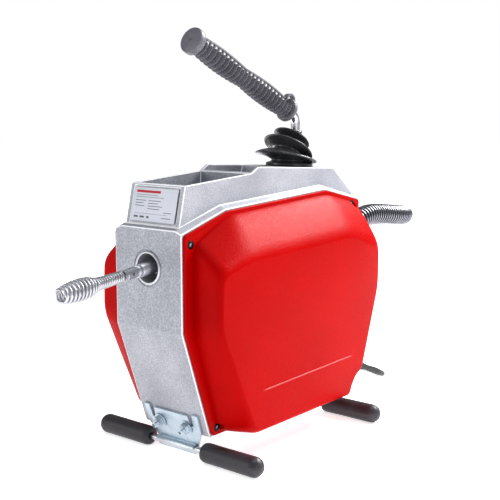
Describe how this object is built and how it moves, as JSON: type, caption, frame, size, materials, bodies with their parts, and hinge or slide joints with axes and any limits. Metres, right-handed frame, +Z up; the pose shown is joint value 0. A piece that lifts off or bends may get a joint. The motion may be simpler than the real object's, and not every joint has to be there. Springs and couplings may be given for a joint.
{
  "type": "drain cleaning machine",
  "caption": "Portable drain snake machine: cast housing with tool tray, red side covers, press lever, spiral auger, guide hose, mains lead and sleeved foot bars.",
  "frame": {"origin": "bottom centre of the machine's bounding box, on the floor under the housing, measured without the guide hose and mains lead", "axes": "+X across the machine to its right side cover, +Y from the tool outlet towards the guide hose, +Z up"},
  "size_m": [0.5991, 0.8315, 0.5188],
  "materials": {
    "cast_aluminium": "silver grey sand-cast, lightly speckled",
    "red_plastic": "satin, fine moulded grain",
    "steel": "bright turned",
    "zinc_plate": "bluish zinc plating",
    "black_rubber": "glossy bellows",
    "grip_plastic": "satin charcoal",
    "black_plastic": "satin",
    "sleeve_vinyl": "dipped vinyl, satin",
    "hose_armour": "corrugated grey armour over a rubber hose",
    "copper_iron": "lacquered windings",
    "steel_black": "black oxide socket screws",
    "plate_silver": "satin blank data plate"
  },
  "bodies": {
    "frame": {"housing": "cast_aluminium", "data_plate": "plate_silver", "cover_right": "red_plastic", "cover_left": "red_plastic", "cover_screw_right_1": "steel_black", "cover_screw_right_2": "steel_black", "cover_screw_right_3": "steel_black", "cover_screw_right_4": "steel_black", "cover_screw_left_1": "steel_black", "cover_screw_left_2": "steel_black", "cover_screw_left_3": "steel_black", "cover_screw_left_4": "steel_black", "outlet_bush": "steel", "front_bearing": "steel", "rear_bearing": "steel", "motor_can": "cast_aluminium", "motor_front_cap": "cast_aluminium", "drive_belt": "black_rubber", "motor_cradle": "cast_aluminium", "capacitor": "plate_silver", "switch_body": "black_plastic", "lever_pivot_pin": "steel", "rubber_boot": "black_rubber", "hose_union": "cast_aluminium", "guide_hose": "hose_armour", "hose_end_fitting": "zinc_plate", "cord_gland": "black_plastic", "mains_cord": "black_rubber", "cord_coil": "black_rubber", "mains_plug": "black_plastic", "front_bracket": "zinc_plate", "front_foot_rod": "steel", "front_bolt_1": "zinc_plate", "front_bolt_2": "zinc_plate", "front_foot_sleeve_right": "sleeve_vinyl", "front_foot_sleeve_left": "sleeve_vinyl", "rear_bracket": "zinc_plate", "rear_foot_rod": "steel", "rear_bolt_1": "zinc_plate", "rear_bolt_2": "zinc_plate", "rear_foot_sleeve_right": "sleeve_vinyl", "rear_foot_sleeve_left": "sleeve_vinyl"},
    "spindle": {"spindle_tube": "steel", "chuck_body": "steel", "driven_pulley": "cast_aluminium", "return_spring": "steel", "spiral_cable": "steel"},
    "press_sleeve": {"press_sleeve": "steel"},
    "jaw_1": {"jaw_1": "steel"},
    "jaw_2": {"jaw_2": "steel"},
    "jaw_3": {"jaw_3": "steel"},
    "rotor": {"motor_rotor": "copper_iron", "motor_pulley": "cast_aluminium"},
    "lever": {"lever_rod": "steel", "lever_grip": "grip_plastic", "clutch_fork": "cast_aluminium"},
    "tool": {"tool_coupling": "steel", "auger_head": "steel"},
    "knob": {"switch_knob": "black_plastic"}
  },
  "joints": [
    {"name": "lever_press", "type": "hinge", "parent": "frame", "child": "lever", "pos_m": [0, 0.166, 0.318], "axis": [1, 0, 0], "range_deg": [0, 18], "deforming": ["rubber_boot"]},
    {"name": "spindle_spin", "type": "hinge", "parent": "frame", "child": "spindle", "pos_m": [0, 0, 0.2395], "axis": [0, 1, 0], "continuous": true},
    {"name": "press_sleeve_slide", "type": "slide", "parent": "spindle", "child": "press_sleeve", "axis": [0, 1, 0], "range_m": [0, 0.016], "deforming": ["return_spring"]},
    {"name": "jaw_1_slide", "type": "slide", "parent": "spindle", "child": "jaw_1", "axis": [0, 0, -1], "range_m": [0, 0.0036]},
    {"name": "jaw_2_slide", "type": "slide", "parent": "spindle", "child": "jaw_2", "axis": [-0.866, 0, 0.5], "range_m": [0, 0.0036]},
    {"name": "jaw_3_slide", "type": "slide", "parent": "spindle", "child": "jaw_3", "axis": [0.866, 0, 0.5], "range_m": [0, 0.0036]},
    {"name": "motor_spin", "type": "hinge", "parent": "frame", "child": "rotor", "pos_m": [0, 0, 0.105], "axis": [0, 1, 0], "continuous": true},
    {"name": "tool_spin", "type": "hinge", "parent": "frame", "child": "tool", "pos_m": [0, -0.12, 0.2395], "axis": [0, 0.9951, 0.0993], "continuous": true},
    {"name": "switch_turn", "type": "hinge", "parent": "frame", "child": "knob", "pos_m": [0.028, 0.245, 0.195], "axis": [0, 1, 0], "range_deg": [-45, 45]}
  ],
  "couplings": [
    {"joint": "press_sleeve_slide", "follows": "lever_press", "m_per_rad": 0.05},
    {"joint": "jaw_1_slide", "follows": "lever_press", "m_per_rad": 0.011},
    {"joint": "jaw_2_slide", "follows": "lever_press", "m_per_rad": 0.011},
    {"joint": "jaw_3_slide", "follows": "lever_press", "m_per_rad": 0.011},
    {"joint": "motor_spin", "follows": "spindle_spin", "ratio": 2.173},
    {"joint": "tool_spin", "follows": "spindle_spin", "ratio": 1}
  ]
}
